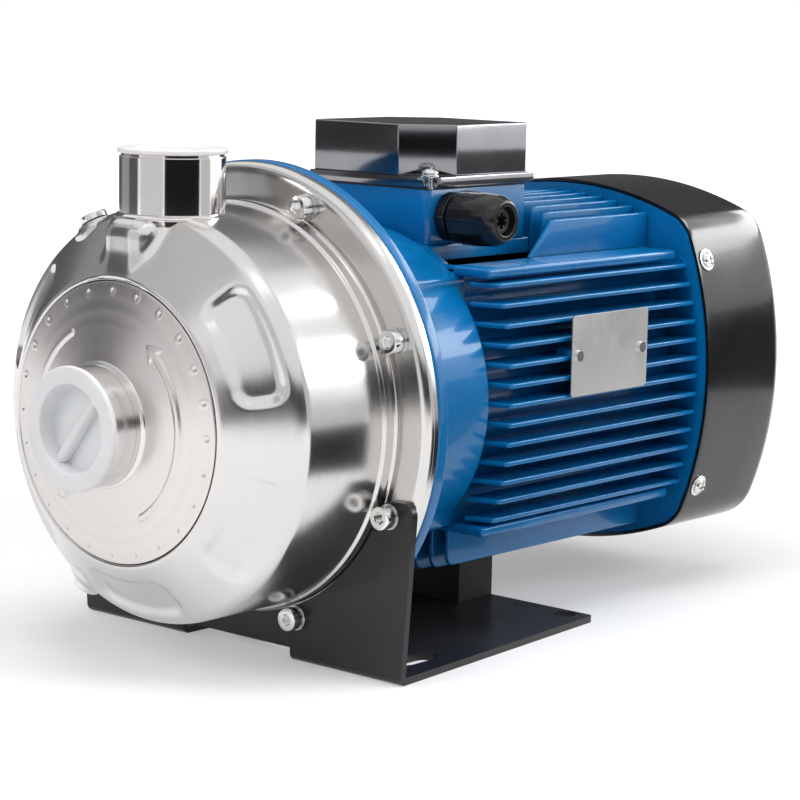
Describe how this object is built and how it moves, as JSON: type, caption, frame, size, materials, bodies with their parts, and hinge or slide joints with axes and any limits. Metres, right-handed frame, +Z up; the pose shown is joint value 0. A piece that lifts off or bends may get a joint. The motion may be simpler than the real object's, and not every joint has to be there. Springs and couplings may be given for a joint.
{
  "type": "horizontal centrifugal pump",
  "caption": "Close-coupled end-suction centrifugal pump: pressed stainless casing on a blue finned motor with fan hood and bent base",
  "frame": {"origin": "underside of the base, midway between the two rear foot holes", "axes": "+X along the shaft from the suction port towards the fan cover, +Z up, near side with the nameplate at -Y"},
  "size_m": [0.4456, 0.2392, 0.258],
  "materials": {
    "drawn_steel": "drawn stainless sheet, satin, brightly polished on the round",
    "turned_steel": "polished stainless pipe",
    "machined_steel": "turned or ground steel",
    "bolt_steel": "bright stainless fasteners",
    "cap_plastic": "white moulded plastic",
    "blue_paint": "glossy blue paint on cast aluminium",
    "black_paint": "glossy black paint on sheet steel",
    "black_plastic": "black moulded plastic",
    "grey_plastic": "dark grey moulded plastic",
    "black_rubber": "black rubber",
    "seal_ceramic": "ceramic and carbon seal rings",
    "silicon_iron": "laminated core iron",
    "copper": "enamelled copper windings",
    "brass": "brass terminal hardware",
    "aluminium": "bare etched aluminium"
  },
  "bodies": {
    "frame": {"pump_casing": "drawn_steel", "suction_plate": "drawn_steel", "suction_port": "turned_steel", "discharge_port": "turned_steel", "plug_washers": "black_rubber", "inlet_guide": "drawn_steel", "wear_ring": "grey_plastic", "seal_plate": "drawn_steel", "casing_o_ring": "black_rubber", "seal_seat": "seal_ceramic", "motor_housing": "blue_paint", "stator_core": "silicon_iron", "windings": "copper", "front_bearing": "machined_steel", "rear_bearing": "machined_steel", "bearing_spring": "machined_steel", "rear_shield": "blue_paint", "shield_screws": "bolt_steel", "fan_cover": "black_paint", "fan_cover_screws": "bolt_steel", "terminal_box": "blue_paint", "lid_gasket": "black_rubber", "terminal_lid": "black_plastic", "lid_screws": "bolt_steel", "lid_screw_washers": "bolt_steel", "terminal_board": "grey_plastic", "terminal_studs": "brass", "terminal_links": "brass", "gland_body": "black_plastic", "gland_seal": "black_rubber", "nameplate": "aluminium", "nameplate_screws": "bolt_steel", "base_bracket": "black_paint", "foot_block": "black_rubber", "foot_block_screws": "bolt_steel", "casing_bolts": "bolt_steel", "bolt_washers": "bolt_steel", "spring_washers": "bolt_steel"},
    "rotor": {"shaft": "machined_steel", "impeller_key": "machined_steel", "impeller": "drawn_steel", "impeller_nut": "bolt_steel", "seal_rotary": "seal_ceramic", "seal_spring": "machined_steel", "slinger": "black_rubber", "rotor_core": "silicon_iron", "fan": "black_plastic", "fan_circlip": "machined_steel"},
    "suction_cap": {"suction_cap": "cap_plastic"},
    "discharge_cap": {"discharge_cap": "cap_plastic"},
    "vent_plug": {"vent_plug": "bolt_steel"},
    "drain_plug": {"drain_plug": "bolt_steel"},
    "gland_nut": {"gland_nut": "black_plastic"}
  },
  "joints": [
    {"name": "rotor_spin", "type": "hinge", "parent": "frame", "child": "rotor", "pos_m": [-0.1, 0, 0.122], "axis": [1, 0, 0], "continuous": true},
    {"name": "suction_cap_pull", "type": "slide", "parent": "frame", "child": "suction_cap", "axis": [-1, 0, 0], "range_m": [0, 0.08]},
    {"name": "discharge_cap_pull", "type": "slide", "parent": "frame", "child": "discharge_cap", "axis": [0, 0, 1], "range_m": [0, 0.08]},
    {"name": "vent_plug_out", "type": "slide", "parent": "frame", "child": "vent_plug", "axis": [-0.1392, 0.4419, 0.8862], "range_m": [0, 0.012]},
    {"name": "drain_plug_out", "type": "slide", "parent": "frame", "child": "drain_plug", "axis": [-0.1392, 0.4771, -0.8678], "range_m": [0, 0.012]},
    {"name": "gland_nut_turn", "type": "hinge", "parent": "frame", "child": "gland_nut", "pos_m": [-0.049, -0.06, 0.2116], "axis": [0, 1, 0], "range_deg": [0, 360]}
  ]
}
